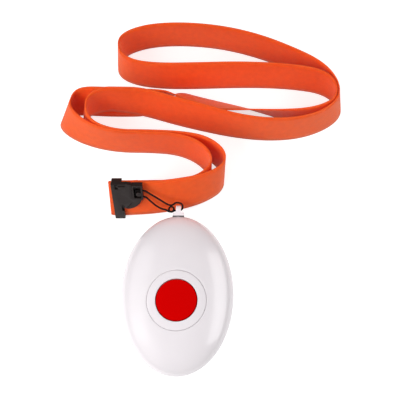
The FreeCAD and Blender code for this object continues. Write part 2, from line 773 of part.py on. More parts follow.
def tube(name, points, radius):
    corners = tangent_corners(points)
    path = Part.Wire(path_edges(points[0], corners, points[-1]))
    print(name, "radii", ["%.1f" % corner[3] for corner in corners])
    start = points[0]
    outline = Part.Wire([Part.Circle(start, points[1] - start, radius).toShape()])
    solid = path.makePipeShell([outline], True, False)
    wanted = math.pi * radius ** 2 * path.Length
    print(name, "length %.1f volume %.1f of %.1f" % (path.Length, solid.Volume, wanted))
    obj = doc.addObject("Part::Feature", name)
    obj.Shape = solid
    return obj


# Ribbon: each row is a point of its lower line on the table, then how far the top edge of the
# 20 mm ribbon leans from it in x and y. The loop is folded at the buckle and sewn to itself.

RIBBON_WIDTH = 20.0

RIBBON_ROUTE = [
    (-14.0, 37.8, 0, 8.7), (-23.0, 37.35, 0, 8.8), (-31.2, 37.5, 0.9, 8.8), (-31.2, 36.5, 0.9, 8.8),
    (-23.0, 36.65, 0, 8.8), (-12.0, 37.2, 0, 8.6), (1.0, 39.3, 0, 7.9), (12.4, 43.1, 0, 6.8),
    (20.8, 49.8, 0, 5.4), (21.0, 59.2, 0, 3.2), (13.0, 67.6, 0, 1.8), (0.3, 70.6, 0, 1.3),
    (-15.3, 71.2, 0, 1.0), (-30.0, 71.0, 0.4, 1.2), (-41.5, 74.1, 2.4, 1.2), (-48.6, 80.6, 4.3, 1.2),
    (-47.9, 88.6, 4.3, 1.8), (-39.1, 92.2, 2.2, 2.4), (-29.0, 91.8, 0.4, 2.6), (-17.0, 89.4, 0, 3.2),
    (-3.0, 85.3, 0, 3.8), (12.0, 81.0, 0, 3.4), (27.5, 77.6, 0, 3.0), (44.0, 75.9, 0, 2.0),
    (59.5, 77.3, -1.0, 1.2), (72.9, 82.6, -3.2, 1.0), (80.7, 90.2, -5.2, 1.0), (79.6, 99.9, -5.4, 0.4),
    (70.2, 109.2, -3.0, -0.4), (55.7, 117.2, -1.0, -1.2), (39.4, 124.2, 0, -1.2), (22.3, 129.2, 0, -1.3),
    (3.4, 131.6, 0, -1.3), (-14.6, 131.2, 0.4, -1.3), (-27.4, 127.4, 1.8, -0.8), (-33.0, 120.4, 2.8, 1.0),
    (-31.8, 112.4, 2.6, 1.2), (-23.0, 107.6, 1.0, 1.3), (-9.0, 105.5, 0, 1.8), (8.0, 105.4, 0, 2.2),
    (26.0, 106.1, 0, 2.0), (43.0, 106.1, 0, 1.4), (58.5, 105.0, -1.2, 0.8), (70.8, 101.8, -3.2, 0.8),
    (78.0, 95.6, -4.8, 1.2), (77.6, 88.0, -4.0, 0.6), (69.5, 84.4, -2.0, -0.5), (58.4, 83.9, 0, -3.0),
    (46.7, 88.7, 0, -6.5), (35.0, 93.4, 0, -9.0), (25.4, 96.7, 0, -11.0), (13.8, 99.9, 0, -12.2),
    (3.3, 99.6, 0, -9.5), (-6.3, 94.5, 0, -2.0), (-17.0, 90.5, 0, 3.1), (-30.5, 92.9, 0.2, 2.5),
    (-43.0, 93.4, 3.0, 2.1), (-54.3, 90.4, 7.0, 1.6), (-60.0, 84.1, 8.6, 1.6), (-54.5, 77.0, 7.0, 2.0),
    (-42.0, 72.2, 3.0, 2.0), (-28.9, 69.8, 0.4, 1.6), (-14.0, 69.7, 0, 1.6), (-2.0, 68.7, 0, 1.9),
    (7.2, 64.9, 0, 2.4), (13.6, 58.9, -0.2, 3.4), (15.7, 51.0, -0.2, 5.4), (9.4, 43.1, 0, 7.2),
    (-3.0, 39.6, 0, 8.0), (-13.5, 38.6, 0, 8.6), (-23.0, 38.15, 0, 8.8),
]


def ribbon_points(height):
    """The route at one height above the table."""
    points = []
    for x, y, lean_x, lean_y in RIBBON_ROUTE:
        rise = math.sqrt(RIBBON_WIDTH ** 2 - lean_x ** 2 - lean_y ** 2)
        share = height / rise
        points.append(Vector(x + lean_x * share, y + lean_y * share, height))
    return points


def strip_wire(points, thick):
    """Closed outline of a strip of the given thickness about a flat route."""
    up = Vector(0, 0, 1)
    corners = tangent_corners(points)
    sides = []
    for sign in (1, -1):
        shift = thick / 2 * sign
        moved = []
        for point, (first, middle, last, radius), nearby in zip(points[1:], corners, points):
            into = up.cross(point - nearby).normalize()
            out = up.cross(points[points.index(point) + 1] - point).normalize()
            between = (into + out).normalize()
            moved.append((first + into * shift, middle + between * shift, last + out * shift, radius))
        start = points[0] + up.cross(points[1] - points[0]).normalize() * shift
        end = points[-1] + up.cross(points[-1] - points[-2]).normalize() * shift
        sides.append((start, moved, end))
    (start, moved, end), (back_start, back_moved, back_end) = sides
    edges = path_edges(start, moved, end)
    edges.append(Part.LineSegment(end, back_end).toShape())
    backward = [(last, middle, first, radius) for first, middle, last, radius in reversed(back_moved)]
    edges += path_edges(back_end, backward, back_start)
    edges.append(Part.LineSegment(back_start, start).toShape())
    length = sum(edge.Length for edge in path_edges(points[0], corners, points[-1]))
    return Part.Wire(edges), length, [corner[3] for corner in corners]


def lanyard_ribbon():
    tall = s.ribbon_tall.value
    low, low_length, radii = strip_wire(ribbon_points(0.0), s.ribbon_thick.value)
    high, high_length, high_radii = strip_wire(ribbon_points(tall), s.ribbon_thick.value)
    print("ribbon radii", ["%.1f" % radius for radius in radii])
    solid = Part.makeLoft([low, high], True, True)
    length = (low_length + high_length) / 2
    print("ribbon length %.1f volume %.1f of %.1f" % (length, solid.Volume, length * tall * s.ribbon_thick.value))
    left = -s.frame_left.value
    edge = s.frame_wall.value - s.frame_below.value
    lower_wall = Part.makeBox(s.frame_width.value + 0.6, 8, 8, Vector(left - 0.3, edge + 0.05 - 8, -4))
    lean = Rotation(Vector(1, 0, 0), 90 - s.buckle_lean.value)
    lower_wall.Placement = Placement(Vector(0, s.buckle_back.value, s.buckle_lift.value), lean)
    obj = doc.addObject("Part::Feature", "LanyardRibbon")
    obj.Shape = solid.cut(lower_wall)
    return piece("lanyard_ribbon", obj)


def ribbon_stitching():
    """Two rows of short stitches on the rear face, where the ribbon's ends are lapped and sewn."""
    (x0, y0, lean_x, lean_y), (x1, y1, _, _) = RIBBON_ROUTE[-1], RIBBON_ROUTE[-2]
    along = Vector(x1 - x0, y1 - y0, 0).normalize()
    across = Vector(lean_x, lean_y, math.sqrt(RIBBON_WIDTH ** 2 - lean_x ** 2 - lean_y ** 2)).normalize()
    behind = across.cross(along).normalize()
    stitches = []
    for row in range(2):
        for i in range(7):
            stitch = doc.addObject("Part::Box", "Stitch%d%d" % (row, i))
            bind(stitch, Length=2.0, Width=0.4, Height=0.2)
            corner = Vector(x0, y0, 0) + along * (1.0 + 3.2 * row) + across * (2.5 + 2.6 * i)
            corner += behind * (s.ribbon_thick.value / 2 + 0.02)
            stitch.Placement = Placement(corner, Rotation(across, along, behind, "XYZ"))
            stitches.append(stitch)
    return piece("ribbon_stitching", group("RibbonStitching", *stitches))


def build():
    front_shell()
    back_shell()
    shell_gasket()
    case_screws()
    trim_ring()
    ring_seal()
    red_button()
    switch_plunger()
    tact_switch_body()
    circuit_board()
    board_screws()
    radio_chip()
    crystal_can()
    chip_passives()
    wire_antenna()
    battery_holder()
    coin_cell()
    contact_positive()
    contact_negative()
    strap_lug()
    lug_seal()
    string()
    buckle_body()
    buckle_insert()
    lanyard_ribbon()
    ribbon_stitching()


def check():
    """Stops before writing if any object or piece has failed."""
    failed = [obj.Name for obj in doc.Objects if "Invalid" in obj.State or "Error" in obj.State]
    for obj in pieces:
        if obj.Shape.isNull() or not obj.Shape.isValid() or not obj.Shape.Solids:
            failed.append(obj.Label)
    if failed:
        raise SystemExit("failed: " + ", ".join(failed))


def write():
    os.makedirs("parts", exist_ok=True)
    for obj in pieces:
        obj.Shape.exportStep("parts/%s.step" % obj.Label)
        print("%-18s %d solids %9.1f mm3" % (obj.Label, len(obj.Shape.Solids), obj.Shape.Volume))


build()
doc.recompute()
check()
write()
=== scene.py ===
# %% [markdown]
# A call button on a neck ribbon. The rigid pieces were made at their real size by another script
# and are loaded here as a fixed frame. This script gives them their finish, makes the soft
# pieces, and adds the light and the camera. Everything is in metres, and the table is z = 0.

# %% Load the frame
import math

import bmesh
import bpy
from mathutils import Matrix, Vector


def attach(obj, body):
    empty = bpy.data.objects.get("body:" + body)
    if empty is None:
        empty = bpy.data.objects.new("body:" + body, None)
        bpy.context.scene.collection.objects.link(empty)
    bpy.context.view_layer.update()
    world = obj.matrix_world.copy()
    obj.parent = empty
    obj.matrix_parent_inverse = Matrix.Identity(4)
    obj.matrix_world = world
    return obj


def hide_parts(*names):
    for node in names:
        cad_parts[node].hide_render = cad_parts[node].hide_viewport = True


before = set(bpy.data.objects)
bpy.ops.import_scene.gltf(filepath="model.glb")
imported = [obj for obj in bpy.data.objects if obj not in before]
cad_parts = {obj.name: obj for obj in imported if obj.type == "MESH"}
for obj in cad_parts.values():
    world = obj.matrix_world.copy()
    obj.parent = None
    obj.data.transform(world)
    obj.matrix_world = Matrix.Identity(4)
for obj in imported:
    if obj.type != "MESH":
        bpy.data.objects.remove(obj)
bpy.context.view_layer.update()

MM = 0.001
print("pieces in the frame:", len(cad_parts))

# %% [markdown]
# The camera comes first, because every later choice is judged through it. The ribbon stands on
# its edge and shows both its lower and its upper line, which fixes how far the camera looks
# down: 70 degrees. The picture is 400 pixels wide, and its focal length is 521 of them.

# %% Camera
FRAME_PIXELS = 400
FOCAL_PIXELS = 521
CAMERA_PLACE = Vector((9.72, -39.01, 230.62)) * MM
CAMERA_TILT = math.radians(20)

camera_data = bpy.data.cameras.new("camera")
camera_data.sensor_fit = "HORIZONTAL"
camera_data.angle = 2 * math.atan(FRAME_PIXELS / 2 / FOCAL_PIXELS)
camera_data.clip_start = 0.01
camera = bpy.data.objects.new("camera", camera_data)
camera.location = CAMERA_PLACE
camera.rotation_euler = (CAMERA_TILT, 0, 0)
bpy.context.scene.collection.objects.link(camera)
bpy.context.scene.camera = camera
print("field of view in degrees:", round(math.degrees(camera_data.angle), 2))

# %% [markdown]
# A finish is a Principled shader and a few nodes that vary it. Two small classes keep the node
# work readable: a Wire is one output, which ordinary sums can use, and a Finish makes nodes by
# one method, with their inputs given by name.

# %% Two classes for materials
class Wire:
    """One output of a shader node, which ordinary sums can use."""

    def __init__(self, finish, socket):
        self.finish = finish
        self.socket = socket

    def sum(self, operation, first, second):
        return self.finish.node("ShaderNodeMath", {"operation": operation}, {0: first, 1: second})

    def __add__(self, other):
        return self.sum("ADD", self, other)

    __radd__ = __add__

    def __sub__(self, other):
        return self.sum("SUBTRACT", self, other)

    def __rsub__(self, other):
        return self.sum("SUBTRACT", other, self)

    def __mul__(self, other):
        return self.sum("MULTIPLY", self, other)

    __rmul__ = __mul__

    def __pow__(self, other):
        return self.sum("POWER", self, other)

    def sine(self):
        return self.sum("SINE", self, 0)

    def size(self):
        return self.sum("ABSOLUTE", self, 0)

    def above(self, level):
        return self.sum("GREATER_THAN", self, level)


class Finish:
    """A material in the making: its Principled shader and the nodes that feed it."""

    def __init__(self, name, color, roughness, **fixed):
        self.material = bpy.data.materials.new(name)
        self.material.use_nodes = True
        self.tree = self.material.node_tree
        self.shader = self.tree.nodes["Principled BSDF"]
        self.color = color
        self.shader.inputs["Base Color"].default_value = (*color, 1)
        self.shader.inputs["Roughness"].default_value = roughness
        for words, value in fixed.items():
            self.shader.inputs[words.replace("_", " ")].default_value = value

    def feed(self, socket, value):
        if isinstance(value, Wire):
            self.tree.links.new(value.socket, socket)
        elif isinstance(value, tuple) and len(value) == 3 and len(socket.default_value) == 4:
            socket.default_value = (*value, 1)
        else:
            socket.default_value = value

    def node(self, kind, settings=None, inputs=None, output=0):
        """Adds one node, sets it up, feeds its inputs, and gives back one of its outputs."""
        made = self.tree.nodes.new(kind)
        for name, value in (settings or {}).items():
            setattr(made, name, value)
        for name, value in (inputs or {}).items():
            self.feed(made.inputs[name], value)
        return Wire(self, made.outputs[output])

    def place(self):
        return self.node("ShaderNodeTexCoord", output="Object")

    def noise(self, scale, detail=2.0, where=None):
        return self.node("ShaderNodeTexNoise", inputs={"Vector": where or self.place(), "Scale": scale,
                                                       "Detail": detail}, output="Fac")

    def tint(self, share, first, second):
        """Mixes two colours by a share."""
        return self.node("ShaderNodeMix", {"data_type": "RGBA"}, {"Factor": share, 6: first, 7: second}, output=2)

    def bump(self, height, distance, strength=1.0):
        normal = self.node("ShaderNodeBump", inputs={"Height": height, "Distance": distance,
                                                     "Strength": strength})
        self.feed(self.shader.inputs["Normal"], normal)

    def vary(self, **inputs):
        """Feeds named inputs of the shader."""
        for words, value in inputs.items():
            self.feed(self.shader.inputs[words.replace("_", " ")], value)
        return self.material


def scaled(color, factor):
    return tuple(min(1.0, channel * factor) for channel in color)


# %% [markdown]
# The pendant is glossy moulded plastic, nearly white with a breath of pink. A polished mould
# still leaves a slow unevenness, the orange peel of such plastic, so its roughness drifts by a
# few hundredths and a very shallow bump bends the reflections.

# %% Moulded plastics
def moulded(name, color, roughness, grain, depth, drift=0.03, **fixed):
    """A moulded plastic: a slow drift of gloss and shade, and a fine grain of the mould."""
    finish = Finish(name, color, roughness, **fixed)
    slow = finish.noise(90.0)
    fine = finish.noise(grain, 3.0)
    finish.bump(fine, depth)
    return finish.vary(
        Base_Color=finish.tint(slow, scaled(color, 0.97), scaled(color, 1.02)),
        Roughness=roughness - drift + slow * (2 * drift),
    )


WHITE = (0.87, 0.82, 0.85)
RED = (0.62, 0.0, 0.0)
BLACK_BROWN = (0.02, 0.013, 0.012)

case_finish = moulded("case_white", WHITE, 0.25, 500.0, 0.000004, Specular_IOR_Level=0.8, Coat_Weight=0.5,
                      Coat_Roughness=0.12)
ring_finish = moulded("ring_white", scaled(WHITE, 0.98), 0.2, 700.0, 0.000004)
red_finish = moulded("button_red", RED, 0.6, 2600.0, 0.00001, Specular_IOR_Level=0.02)
lug_finish = moulded("lug_white", WHITE, 0.35, 1500.0, 0.000008)
buckle_finish = moulded("buckle_black", BLACK_BROWN, 0.38, 3800.0, 0.00002, Specular_IOR_Level=0.22)
print("moulded plastics:", 5)

# %% [markdown]
# The ribbon is polyester satin. Its face is a close warp that shines along the strip, its weft
# shows as very fine ribs across, and each edge has a narrow woven selvedge that stands a little
# proud. The pattern follows the strip's own UV map: u runs along it and v across, both in
# widths, so that one rib is the same size everywhere. Plain diffuse paint looks dull beside
# satin, so some light passes through the cloth and a sheen lifts the faces the lamps reach. A
# faint red glow is painted light: the ribbon glows though it is no lamp, which lifts its shaded parts.

# %% Satin
RIBBON_WIDTH = 20.0 * MM
ORANGE = (0.95, 0.1, 0.02)


def satin():
    # The faint red emission set here and below is a painted glow that lifts the ribbon's shaded parts; the ribbon is
    # no lamp.
    finish = Finish("ribbon_satin", ORANGE, 0.5, Specular_IOR_Level=0.3, Subsurface_Weight=0.35,
                    Subsurface_Scale=0.0015, Emission_Strength=0.045, Sheen_Weight=0.35,
                    Sheen_Roughness=0.4)
    finish.shader.inputs["Subsurface Radius"].default_value = (1.0, 0.2, 0.05)
    finish.shader.inputs["Emission Color"].default_value = (1.0, 0.02, 0.0, 1)
    finish.shader.inputs["Specular Tint"].default_value = (1.0, 0.75, 0.3, 1)
    finish.shader.inputs["Sheen Tint"].default_value = (1.0, 0.4, 0.2, 1)
    uv = finish.node("ShaderNodeUVMap", {"uv_map": "strip"})
    along = finish.node("ShaderNodeSeparateXYZ", inputs={"Vector": uv}, output="X")
    across = finish.node("ShaderNodeSeparateXYZ", inputs={"Vector": uv}, output="Y")
    ribs = (along * (math.tau * 60)).sine()
    warp = (across * (math.tau * 45) + ribs * 0.6).sine()
    edge = ((across - 0.5).size() - 0.474).above(0.0)
    line = 1 - ((((across - 0.5).size() - 0.466).size() - 0.006) * 60).above(0.0)
    mottle = finish.noise(420.0, 4.0)
    shade = mottle * 0.8 + ribs * 0.06 + warp * 0.05 + 0.2
    cloth = finish.tint(shade, scaled(ORANGE, 0.8), scaled(ORANGE, 1.3))
    selvedge = finish.tint(line * 0.6, cloth, scaled(ORANGE, 0.72))
    finish.bump(ribs * 0.35 + warp * 0.3 + mottle * 0.5 + edge * 1.2 - line * 0.8, 0.00003)
    return finish.vary(Base_Color=selvedge, Roughness=0.46 + mottle * 0.14)


satin_finish = satin()

# %% [markdown]
# The string is a thin braided cord, too fine for its strands to show as more than a broken
# shine. The pieces inside the case are never seen from outside, and get plain workshop finishes:
# green solder mask, black epoxy, nickel and brass.

# %% String and inner finishes
def braided(name, color, grain):
    finish = Finish(name, color, 0.75, Specular_IOR_Level=0.2)
    strands = finish.noise(grain, 1.0)
    finish.bump(strands, 0.00008)
    return finish.vary(Base_Color=finish.tint(strands, scaled(color, 0.5), scaled(color, 1.8)))


def metal(name, color, roughness):
    finish = Finish(name, color, roughness, Metallic=1.0)
    brushed = finish.noise(1400.0, 2.0)
    return finish.vary(Roughness=roughness - 0.08 + brushed * 0.16)


string_finish = braided("string_black", (0.008, 0.006, 0.006), 5200.0)
thread_finish = braided("thread_orange", scaled(ORANGE, 0.8), 4200.0)
rubber_finish = moulded("seal_grey", (0.16, 0.16, 0.165), 0.7, 2500.0, 0.00001)
board_finish = moulded("board_green", (0.012, 0.09, 0.035), 0.3, 900.0, 0.00001)
epoxy_finish = moulded("chip_black", (0.02, 0.02, 0.021), 0.6, 3000.0, 0.00001)
nickel_finish = metal("nickel", (0.66, 0.64, 0.6), 0.3)
brass_finish = metal("brass", (0.78, 0.56, 0.25), 0.32)

NODE_FINISHES = {
    "front_shell": case_finish,
    "back_shell": case_finish,
    "shell_gasket": rubber_finish,
    "case_screws": nickel_finish,
    "trim_ring": ring_finish,
    "ring_seal": rubber_finish,
    "red_button": red_finish,
    "switch_plunger": epoxy_finish,
    "tact_switch_body": epoxy_finish,
    "circuit_board": board_finish,
    "board_screws": nickel_finish,
    "radio_chip": epoxy_finish,
    "crystal_can": nickel_finish,
    "chip_passives": epoxy_finish,
    "wire_antenna": brass_finish,
    "battery_holder": epoxy_finish,
    "coin_cell": nickel_finish,
    "contact_positive": nickel_finish,
    "contact_negative": brass_finish,
    "strap_lug": lug_finish,
    "lug_seal": rubber_finish,
    "string": string_finish,
    "buckle_insert": buckle_finish,
    "buckle_body": buckle_finish,
    "lanyard_ribbon": satin_finish,
    "ribbon_stitching": thread_finish,
}

for node, finish in NODE_FINISHES.items():
    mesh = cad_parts[node].data
    mesh.materials.clear()
    mesh.materials.append(finish)
print("finished nodes:", len(NODE_FINISHES))

# %% [markdown]
# The ribbon is one closed loop: it is folded at the buckle, goes out and back in three bends,
# and its ends are lapped behind the buckle. It stands on its edge and leans a little here and
# there, and behind the long front bend one leg leans so far forward that its edge is seen end on.
# Each row is a point of its lower line, how far its top edge leans in x and y, and how far the
# buckle lifts it off the table, in millimetres.

# %% The ribbon's route
RIBBON_ROUTE = [
    (-17.5, 37.75, 0, 8.8, 1.2), (-25.0, 37.35, 0, 8.8, 1.2), (-31.2, 37.5, 0.9, 8.8, 1.2),
    (-31.2, 36.5, 0.9, 8.8, 1.2), (-23.0, 36.65, 0, 8.8, 1.2), (-12.0, 37.2, 0, 8.6, 1.3),
    (1.0, 38.85, 0, 8.0, 1.8), (12.6, 43.0, 0, 6.3, 1.6), (21.1, 49.7, 0, 5.2, 0.8), (20.8, 59.0, 0, 3.0, 0.2),
    (12.6, 67.0, 0, 1.6, 0), (0.3, 69.7, 0, 1.2, 0), (-15.3, 70.5, 0, 1.0, 0), (-28.5, 70.4, 0.4, 1.2, 0),
    (-41.3, 73.8, 2.6, 1.2, 0.6), (-48.4, 79.9, 5.0, 1.0, 2.0), (-48.2, 86.0, 5.0, 1.2, 3.8),
    (-38.7, 89.6, 2.6, 1.1, 4.8), (-28.7, 89.6, 0.6, 1.4, 4.0), (-17.5, 89.0, 0, 4.0, 1.0),
    (-3.0, 85.0, 0, 4.3, 0), (12.0, 81.0, 0, 3.7, 0), (27.5, 77.6, 0, 1.8, 0), (44.0, 75.9, 0, 1.2, 0),
    (59.5, 77.3, -1.0, 1.2, 0), (72.9, 82.6, -3.2, 1.0, 0), (80.7, 90.2, -5.2, 1.0, 0), (79.6, 99.9, -5.4, 0.4, 0),
    (70.2, 109.2, -3.0, -0.4, 0), (55.7, 117.2, -1.0, -1.2, 0), (39.4, 124.4, 0, -1.2, 0), (22.3, 129.5, 0, -1.3, 0),
    (3.4, 131.8, 0, -1.3, 0), (-14.4, 131.1, 0.4, -1.3, 0), (-26.9, 127.0, 1.8, -0.8, 0), (-33.0, 120.4, 2.8, 1.0, 0),
    (-31.8, 112.4, 2.6, 1.2, 0), (-23.0, 107.5, 1.0, 1.0, 0), (-9.0, 105.4, 0, 1.5, 0), (8.0, 105.4, 0, 1.9, 0),
    (26.0, 106.1, 0, 1.7, 0), (43.0, 106.1, 0, 1.2, 0), (58.5, 105.0, -1.2, 0.8, 0), (71.4, 102.6, -3.2, 0.8, 0),
    (79.0, 96.0, -4.8, 1.2, 0), (77.3, 88.6, -4.0, 0.6, 0), (69.3, 85.0, -2.0, -0.1, 0), (58.4, 84.9, 0, -2.4, 0),
    (46.7, 89.3, 0, -6.8, 0), (35.2, 93.3, 0, -9.8, 0), (26.0, 95.9, 0, -11.9, 0), (17.0, 98.3, 0, -13.4, 0),
    (8.5, 100.6, 0, -13.6, 0), (0.5, 103.2, 0, -12.6, 0), (-5.0, 101.3, 0, -8.6, 0), (-10.0, 95.2, 0, -2.8, 0),
    (-16.5, 89.7, 0, 3.0, 0),
    (-27.0, 89.4, 0, 4.3, 0), (-38.0, 89.6, 1.2, 4.6, 0), (-49.5, 90.4, 4.0, 4.0, 0), (-57.6, 89.2, 7.6, 2.8, 0),
    (-60.3, 83.6, 8.9, 2.4, 0), (-53.6, 77.2, 7.0, 2.3, 0), (-42.0, 72.2, 3.0, 2.0, 0), (-28.9, 69.7, 0.4, 1.2, 0),
    (-14.0, 69.6, 0, 1.0, 0), (-2.0, 68.6, 0, 1.4, 0), (7.2, 64.9, 0, 2.4, 0), (13.6, 58.9, -0.2, 3.4, 0),
    (15.7, 51.0, -0.2, 5.2, 0), (9.2, 42.6, 0, 7.0, 0), (-3.0, 39.5, 0, 8.1, 0), (-13.5, 38.6, 0, 8.6, 0.3),
    (-26.5, 38.1, 0, 8.8, 0.6),
]


def ribbon_line(share):
    """The route's points at one share of the ribbon's width: 0 is its foot and 1 its top edge."""
    points = []
    for x, y, lean_x, lean_y, lift in RIBBON_ROUTE:
        rise = math.sqrt((RIBBON_WIDTH / MM) ** 2 - lean_x ** 2 - lean_y ** 2)
        up = lift / rise + share
        points.append(Vector((x + lean_x * up, y + lean_y * up, rise * up)) * MM)
    return points


# %% [markdown]
# A quadratic NURBS curve through the air turns these points into a smooth line. Two such
# curves, one for the foot and one for the top edge, have points in pairs, and each pair is one
# straight thread of the weft. The strip grows from one such thread by extruding its edges from
# pair to pair, so that it can't stretch sideways.

# %% Smooth lines and the strip
def smooth_curve(name, points, steps):
    curve = bpy.data.curves.new(name, "CURVE")
    curve.dimensions = "3D"
    curve.resolution_u = steps
    spline = curve.splines.new("NURBS")
    spline.points.add(len(points) - 1)
    for knot, point in zip(spline.points, points):
        knot.co = (*point, 1)
    spline.order_u = 3
    spline.use_endpoint_u = True
    return bpy.data.objects.new(name, curve)


def smooth_points(name, points, steps):
    """Points read along the smooth line of a route."""
    line = smooth_curve(name, points, steps)
    mesh = bpy.data.meshes.new_from_object(line)
    found = [vertex.co.copy() for vertex in mesh.vertices]
    bpy.data.meshes.remove(mesh)
    bpy.data.objects.remove(line)
    return found


RIBBON_THICK = 0.6 * MM
ACROSS = 8
STEPS = 8

foot_line = smooth_points("foot", ribbon_line(0), STEPS)
top_line = smooth_points("top", ribbon_line(1), STEPS)
middle_line = smooth_points("middle", ribbon_line(0.5), STEPS)
ribbon_length = sum((b - a).length for a, b in zip(middle_line, middle_line[1:]))
print("ribbon length in metres:", round(ribbon_length, 4))


def link(name, mesh, finish):
    """Makes a linked object of a finished mesh."""
    mesh.materials.clear()
    mesh.materials.append(finish)
    piece = bpy.data.objects.new(name, mesh)
    bpy.context.scene.collection.objects.link(piece)
    return piece


def ribbon_mesh():
    bm = bmesh.new()
    strip = bm.loops.layers.uv.new("strip")
    way = bm.verts.layers.float.new("way")
    side = bm.verts.layers.float.new("side")

    def settle(row, foot, top, travelled):
        thread = (top - foot).normalized() * RIBBON_WIDTH
        for vertex in row:
            vertex.co = foot + thread * vertex[side]
            vertex[way] = travelled / RIBBON_WIDTH

    row = []
    for i in range(ACROSS + 1):
        vertex = bm.verts.new((0, 0, i))
        vertex[side] = i / ACROSS
        row.append(vertex)
    edges = [bm.edges.new(pair) for pair in zip(row, row[1:])]
    settle(row, foot_line[0], top_line[0], 0.0)
    travelled = 0.0
    for i in range(1, len(foot_line)):
        travelled += (middle_line[i] - middle_line[i - 1]).length
        made = bmesh.ops.extrude_edge_only(bm, edges=edges)["geom"]
        row = [item for item in made if isinstance(item, bmesh.types.BMVert)]
        fresh = set(row)
        edges = [item for item in made if isinstance(item, bmesh.types.BMEdge) and fresh.issuperset(item.verts)]
        settle(row, foot_line[i], top_line[i], travelled)
    for face in bm.faces:
        face.smooth = True
        for loop in face.loops:
            loop[strip].uv = (loop.vert[way], loop.vert[side])
    mesh = bpy.data.meshes.new("ribbon")
    bm.to_mesh(mesh)
    bm.free()
    return mesh


ribbon = link("ribbon", ribbon_mesh(), satin_finish)
thickness = ribbon.modifiers.new("thickness", "SOLIDIFY")
thickness.thickness = RIBBON_THICK
thickness.offset = 0
thickness.use_even_offset = True
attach(ribbon, "lanyard")
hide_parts("lanyard_ribbon")
print("ribbon faces:", len(ribbon.data.polygons))

# %% [markdown]
# The string leaves the buckle's insert by its upper hole, runs down to the lug, bends over its
# tip, comes back through its eye and makes one small loop before it sags towards the lower
# hole. It is a curve with a round bevel, because a plain round cord needs no mesh of its own.
# The two ends run a little way into the insert, where the real string is knotted.

# %% The string
STRING_DIAMETER = 0.8 * MM
STRING_ROUTE = [
    (-18.9, 41.8, 15.14), (-18.9, 42.98, 17.57), (-16.9, 42.98, 17.57), (-14.6, 42.98, 17.57), (-12.5, 42.1, 16.0),
    (-8.5, 40.5, 13.2), (-4.4, 38.7, 10.2), (-2.4, 38.9, 9.8), (-1.3, 40.4, 9.4), (1.9, 40.1, 8.7),
    (1.9, 37.2, 7.5), (-1.8, 37.2, 7.5), (-3.4, 36.1, 7.7), (-4.6, 37.3, 8.1), (-3.6, 38.9, 8.5), (-1.9, 38.1, 8.7),
    (-2.3, 36.3, 8.7), (-4.2, 36.2, 8.2), (-5.6, 37.6, 7.3), (-7.9, 38.1, 7.1), (-10.4, 39.2, 8.7),
    (-12.8, 40.5, 11.7), (-14.6, 41.49, 14.51), (-17.4, 41.49, 14.51),
]


def string():
    cord = smooth_curve("string_cord", [Vector(point) * MM for point in STRING_ROUTE], 12)
    cord.data.bevel_depth = STRING_DIAMETER / 2
    cord.data.bevel_resolution = 4
    cord.data.use_fill_caps = True
    cord.data.materials.append(string_finish)
    bpy.context.scene.collection.objects.link(cord)
    return cord


def line_length(points):
    return sum((b - a).length for a, b in zip(points, points[1:]))


string_line = smooth_points("string line", [Vector(point) * MM for point in STRING_ROUTE], 12)
cord = string()
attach(cord, "pendant")
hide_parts("string")
print("string length in metres:", round(line_length(string_line), 4))

# %% [markdown]
# The front shell is an oval dome with a round recess off its centre. A half ellipsoid gives its
# height everywhere, so only its plan has to be made: a circle of edges round the recess is
# extruded outwards, row by row, and each row lies a step nearer to the oval rim. A sine spaces
# the rows, close together where the dome turns down. The last rows go round the rim and back
# along the inside, and a bridge closes the wall.

# %% The front shell
HALF_X = 24.0 * MM
HALF_Y = 34.1 * MM
SPLIT = 7.5 * MM
RISE = 9.0 * MM
WALL = 2.0 * MM
BUTTON_Y = -4.4 * MM
RECESS = 12.35 * MM
SEAT = 14.2 * MM
LEDGE_LOW = 12.6 * MM
SKIRT_HOLE = 10.6 * MM
BOSS = 13.55 * MM
LUG_SEAT = 33.7 * MM
AROUND = 192


def dome_height(x, y, grow=0.0):
    """Height of the ellipsoid over a place, for a shell grown outwards by some amount."""
    left = 1 - (x / (HALF_X + grow)) ** 2 - (y / (HALF_Y + grow)) ** 2
    return SPLIT + (RISE + grow) * math.sqrt(max(left, 0.0))


def next_row(bm, edges, place):
    """Extrudes a loop of edges, puts its vertices by their turn, and gives back the new loop."""
    made = bmesh.ops.extrude_edge_only(bm, edges=edges)["geom"]
    fresh = {item for item in made if isinstance(item, bmesh.types.BMVert)}
    turn = bm.verts.layers.float["turn"]
    for vertex in fresh:
        vertex.co = place(vertex[turn])
    return [item for item in made if isinstance(item, bmesh.types.BMEdge) and fresh.issuperset(item.verts)]


def first_row(bm, place):
    """A loop of edges whose vertices keep their turn round the middle."""
    turn = bm.verts.layers.float.new("turn")
    made = bmesh.ops.create_circle(bm, segments=AROUND, radius=1.0)["verts"]
    for vertex in made:
        vertex[turn] = math.atan2(vertex.co.y, vertex.co.x)
    edges = list(bm.edges)
    for vertex in made:
        vertex.co = place(vertex[turn])
    return edges


def recess_point(radius, height=None, grow=0.0, drop=0.0):
    """A place on a circle round the button's axis, at a level or on the dome."""
    def place(turn):
        x = radius * math.cos(turn)
        y = BUTTON_Y + radius * math.sin(turn)
        return (x, y, dome_height(x, y, grow) - drop if height is None else height)
    return place


def dome_point(share, radius, grow=0.0, drop=0.0):
    """A place between a circle round the button's axis (share 0) and the oval rim (share 1)."""
    def place(turn):
        x = (1 - share) * radius * math.cos(turn) + share * (HALF_X + grow) * math.cos(turn)
        y = (1 - share) * (BUTTON_Y + radius * math.sin(turn)) + share * (HALF_Y + grow) * math.sin(turn)
        height = dome_height(x, y, grow) if share < 1 else SPLIT
        return (x, min(y, LUG_SEAT), height - drop)
    return place


